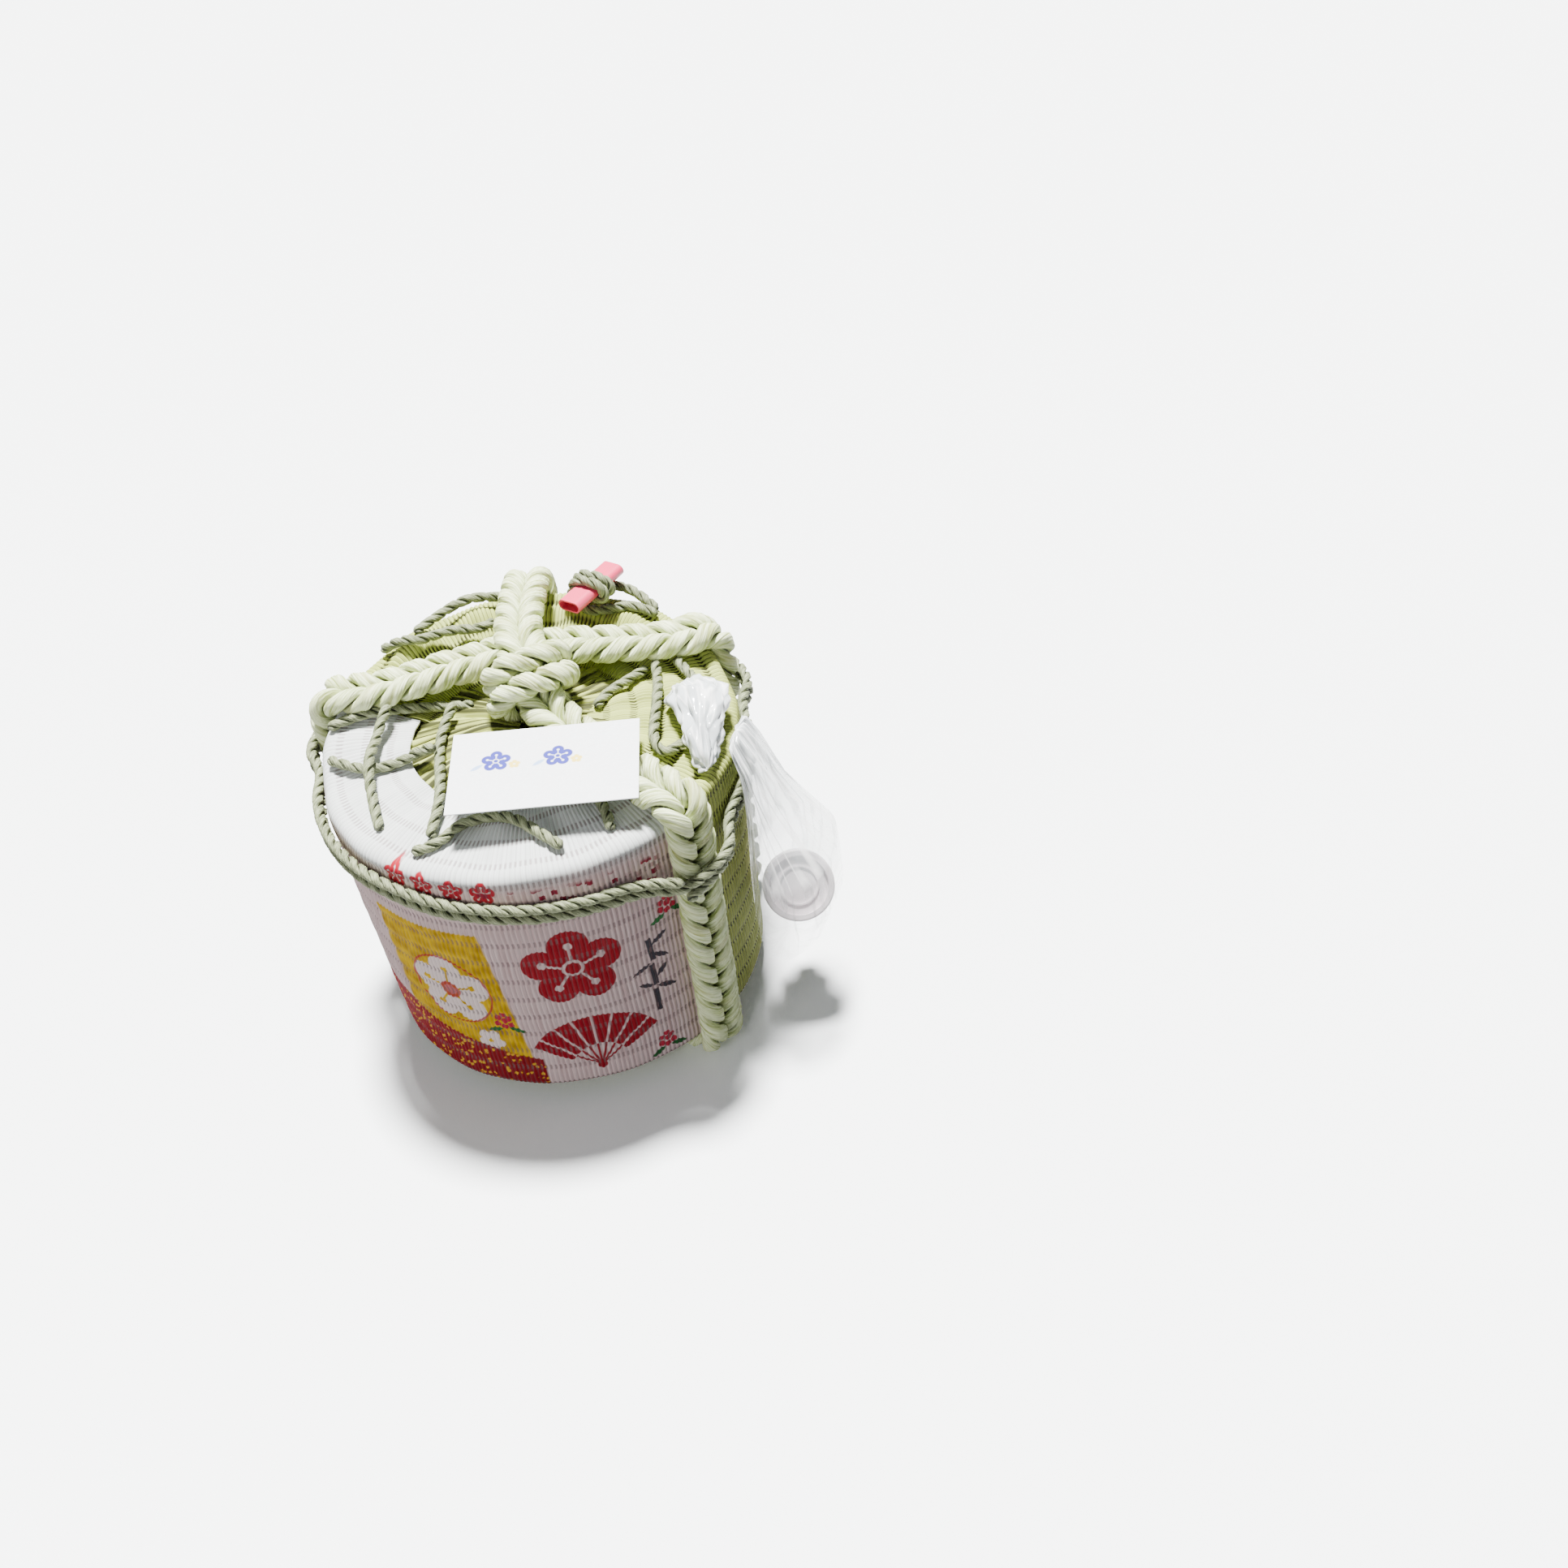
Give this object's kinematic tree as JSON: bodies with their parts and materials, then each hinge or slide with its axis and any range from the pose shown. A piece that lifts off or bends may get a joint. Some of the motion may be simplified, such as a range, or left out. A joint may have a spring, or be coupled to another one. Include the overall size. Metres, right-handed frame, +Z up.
{
  "type": "sake_barrel",
  "caption": "Small straw-wrapped sake barrel: staved cedar barrel in a printed and a plain straw mat, bound by thick straw ropes, thin lacing, a card and a bagged pouring plug",
  "frame": {"origin": "On the floor under the barrel's axis, at the middle of the rope flats it stands on.", "axes": "+Z is up, +X is to the viewer's right and the printed front faces -Y."},
  "size_m": [0.2399, 0.2197, 0.1936],
  "materials": {
    "cedar": "planed cedar",
    "bamboo": "split bamboo",
    "packing_straw": "loose straw",
    "white_mat": "printed woven straw",
    "green_mat": "woven straw",
    "thick_straw_rope": "three-strand straw rope",
    "thin_straw_rope": "two-strand straw rope",
    "card_paper": "smooth card",
    "pink_plastic": "semi-gloss",
    "pale_plastic": "satin",
    "clear_film": "clear crinkled film"
  },
  "bodies": {
    "barrel": {"bag_bunch": "clear_film", "bamboo_hoop_foot": "bamboo", "bamboo_hoop_lower": "bamboo", "bamboo_hoop_rim": "bamboo", "bamboo_hoop_upper": "bamboo", "bottom_board_left": "cedar", "bottom_board_middle": "cedar", "bottom_board_right": "cedar", "bung": "cedar", "foot_mat": "green_mat", "front_mat": "white_mat", "girth_rope": "thin_straw_rope", "lace_back_left": "thin_straw_rope", "lace_back_left_inner": "thin_straw_rope", "lace_back_right": "thin_straw_rope", "lace_back_right_inner": "thin_straw_rope", "lace_front": "thin_straw_rope", "lace_front_right": "thin_straw_rope", "lace_knot_right": "thin_straw_rope", "lace_left_cross": "thin_straw_rope", "lace_left_down": "thin_straw_rope", "lace_left_edge": "thin_straw_rope", "lace_middle_down": "thin_straw_rope", "lace_right_down": "thin_straw_rope", "lace_right_edge": "thin_straw_rope", "lid_board_left": "cedar", "lid_board_middle": "cedar", "lid_board_right": "cedar", "mat_gather": "green_mat", "plain_mat": "green_mat", "pull_sleeve": "pink_plastic", "sleeve_binding": "thin_straw_rope", "stave_01": "cedar", "stave_02": "cedar", "stave_03": "cedar", "stave_04": "cedar", "stave_05": "cedar", "stave_06": "cedar", "stave_07": "cedar", "stave_08": "cedar", "stave_09": "cedar", "stave_10": "cedar", "stave_11": "cedar", "stave_12": "cedar", "stave_13": "cedar", "stave_14": "cedar", "straw_packing": "packing_straw", "thick_rope_back": "thick_straw_rope", "thick_rope_front": "thick_straw_rope", "top_knot": "thick_straw_rope", "top_pad": "packing_straw"},
    "card": {"label_card": "card_paper"},
    "pouch": {"film_bag": "clear_film", "pouring_cap": "pale_plastic", "pouring_plug": "pale_plastic"}
  },
  "joints": [
    {"name": "card_lift", "type": "slide", "parent": "barrel", "child": "card", "axis": [0, 0, 1], "range_m": [0, 0.1]},
    {"name": "bag_swing", "type": "hinge", "parent": "barrel", "child": "pouch", "pos_m": [0.09094, -0.04836, 0.1605], "axis": [-0.4695, -0.8829, 0], "range_deg": [0, 50]}
  ]
}
